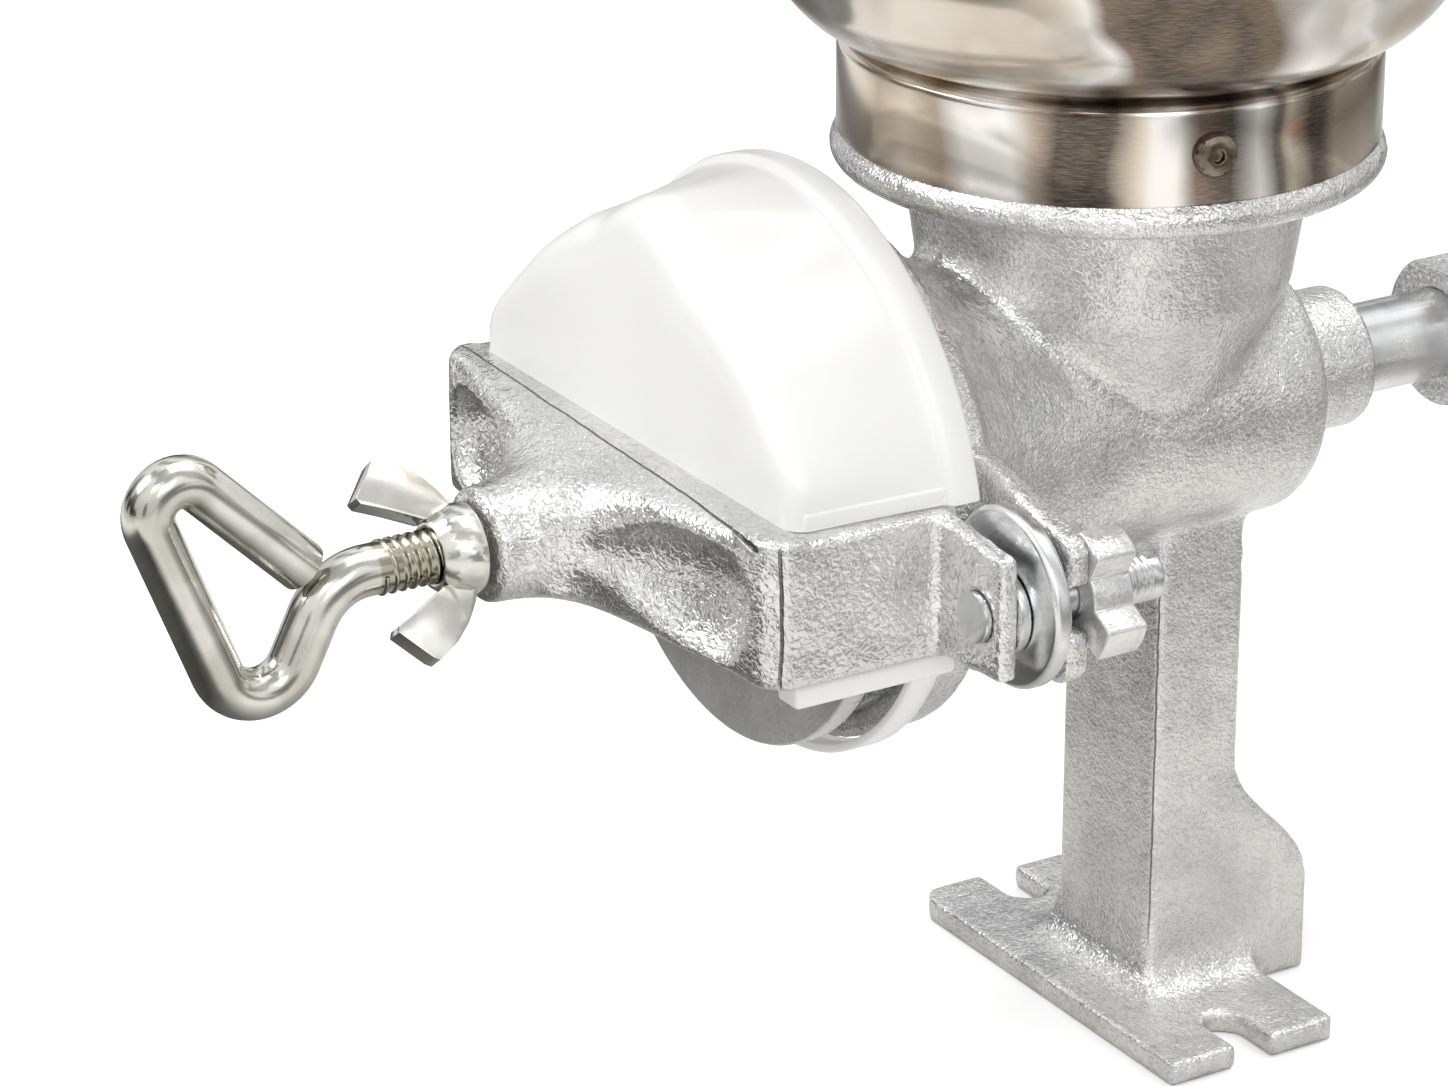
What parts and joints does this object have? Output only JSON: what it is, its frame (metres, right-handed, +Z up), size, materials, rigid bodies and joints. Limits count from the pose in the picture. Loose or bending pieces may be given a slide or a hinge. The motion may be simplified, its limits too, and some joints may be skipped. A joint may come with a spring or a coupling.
{
  "type": "grain mill",
  "caption": "Hand cranked grain mill: cast body on a slotted foot, clamped front yoke with a loop-handled adjusting screw, white plate cover, sheet metal hopper and a rear crank.",
  "frame": {"origin": "centre of the foot's underside", "axes": "+Z up, the shaft along Y with the crank at +Y and the adjusting screw at -Y, +X to the side where the crank's arm rests"},
  "size_m": [0.3034, 0.4535, 0.3188],
  "materials": {
    "tinned_casting": "tinned, bright as-cast skin",
    "plate_iron": "bare speckled grey iron",
    "shaft_iron": "tinned, turned on the shaft",
    "zinc_steel": "zinc plated",
    "bright_zinc": "bright zinc plated, faintly yellow",
    "stainless_sheet": "polished sheet with fine level brushing",
    "white_moulding": "glossy white",
    "grip_wood": "varnished beech"
  },
  "bodies": {
    "base": {"body_casting": "tinned_casting", "fixed_plate": "plate_iron", "fixed_plate_screws": "zinc_steel", "front_yoke": "tinned_casting", "left_stud": "zinc_steel", "right_stud": "zinc_steel", "left_stop_disc": "zinc_steel", "right_stop_disc": "zinc_steel", "plate_cover": "white_moulding", "hopper_collar": "stainless_sheet", "hopper_bowl": "stainless_sheet", "collar_screws": "zinc_steel"},
    "thrust": {"thrust_ball": "zinc_steel"},
    "screw": {"adjusting_screw": "bright_zinc"},
    "rotor": {"auger": "shaft_iron", "plate_holder": "tinned_casting", "rotating_plate": "plate_iron", "drive_pin": "zinc_steel", "crank_arm": "tinned_casting", "crank_set_screw": "zinc_steel", "grip_bolt": "zinc_steel", "grip_washer": "zinc_steel", "grip_nut": "zinc_steel"},
    "handle_grip": {"grip": "grip_wood"},
    "wing_nut": {"lock_wing_nut": "bright_zinc"},
    "left_nut": {"left_clamp_nut": "tinned_casting"},
    "right_nut": {"right_clamp_nut": "tinned_casting"}
  },
  "joints": [
    {"name": "screw_feed", "type": "slide", "parent": "base", "child": "thrust", "axis": [0, 1, 0], "range_m": [-0.0048, 0.00026]},
    {"name": "screw_turn", "type": "hinge", "parent": "thrust", "child": "screw", "pos_m": [0, -0.18, 0.1455], "axis": [0, 1, 0], "range_deg": [-722, 40]},
    {"name": "auger_spin", "type": "hinge", "parent": "thrust", "child": "rotor", "pos_m": [0, 0, 0.1455], "axis": [0, 1, 0], "continuous": true},
    {"name": "grip_spin", "type": "hinge", "parent": "rotor", "child": "handle_grip", "pos_m": [0.185, 0.157, 0.1455], "axis": [0, 1, 0], "continuous": true},
    {"name": "wing_nut_turn", "type": "hinge", "parent": "base", "child": "wing_nut", "pos_m": [0, -0.1767, 0.1455], "axis": [0, 1, 0], "continuous": true},
    {"name": "left_nut_turn", "type": "hinge", "parent": "base", "child": "left_nut", "pos_m": [-0.0846, -0.0729, 0.1445], "axis": [0, 1, 0], "continuous": true},
    {"name": "right_nut_turn", "type": "hinge", "parent": "base", "child": "right_nut", "pos_m": [0.0846, -0.0729, 0.1445], "axis": [0, 1, 0], "continuous": true}
  ],
  "couplings": [
    {"joint": "screw_turn", "follows": "screw_feed", "rad_per_m": 2618}
  ]
}
